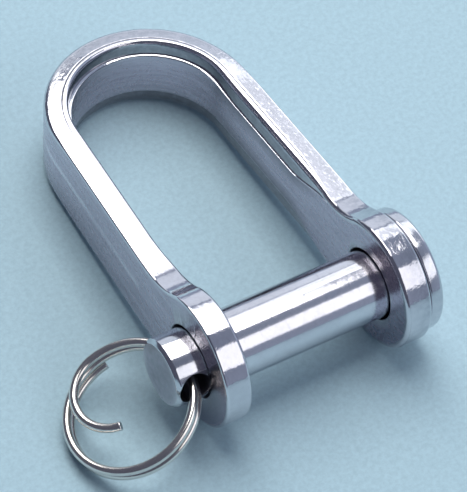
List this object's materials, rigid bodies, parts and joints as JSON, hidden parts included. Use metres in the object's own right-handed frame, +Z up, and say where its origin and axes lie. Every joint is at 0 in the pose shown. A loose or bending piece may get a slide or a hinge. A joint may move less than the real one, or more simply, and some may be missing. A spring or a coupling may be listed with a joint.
{
  "type": "strip shackle",
  "caption": "Stainless strip shackle: a strap bow with round ears, a headed clevis pin across them, and a split ring through the pin's end.",
  "frame": {"origin": "middle of the base: below the centre of the shackle's box, on the surface it lies on", "axes": "+X along the clevis pin towards its head, +Y from the pin towards the crown, +Z up from the surface the shackle lies on"},
  "size_m": [0.0268, 0.0328, 0.0097],
  "materials": {
    "bow_steel": "polished stainless steel with faint tumbling marks",
    "pin_steel": "polished turned stainless steel",
    "ring_steel": "bright drawn stainless spring wire"
  },
  "bodies": {
    "bow": {"bow": "bow_steel"},
    "clevis_pin": {"clevis_pin": "pin_steel"},
    "split_ring": {"split_ring": "ring_steel"}
  },
  "joints": [
    {"name": "pin_turn", "type": "hinge", "parent": "bow", "child": "clevis_pin", "pos_m": [0.00393, -0.01104, 0.00485], "axis": [1, 0, 0], "continuous": true},
    {"name": "ring_swing", "type": "hinge", "parent": "clevis_pin", "child": "split_ring", "pos_m": [-0.0052, -0.01104, 0.00485], "axis": [0, 0.9767, -0.2148], "range_deg": [-50, 95]}
  ]
}
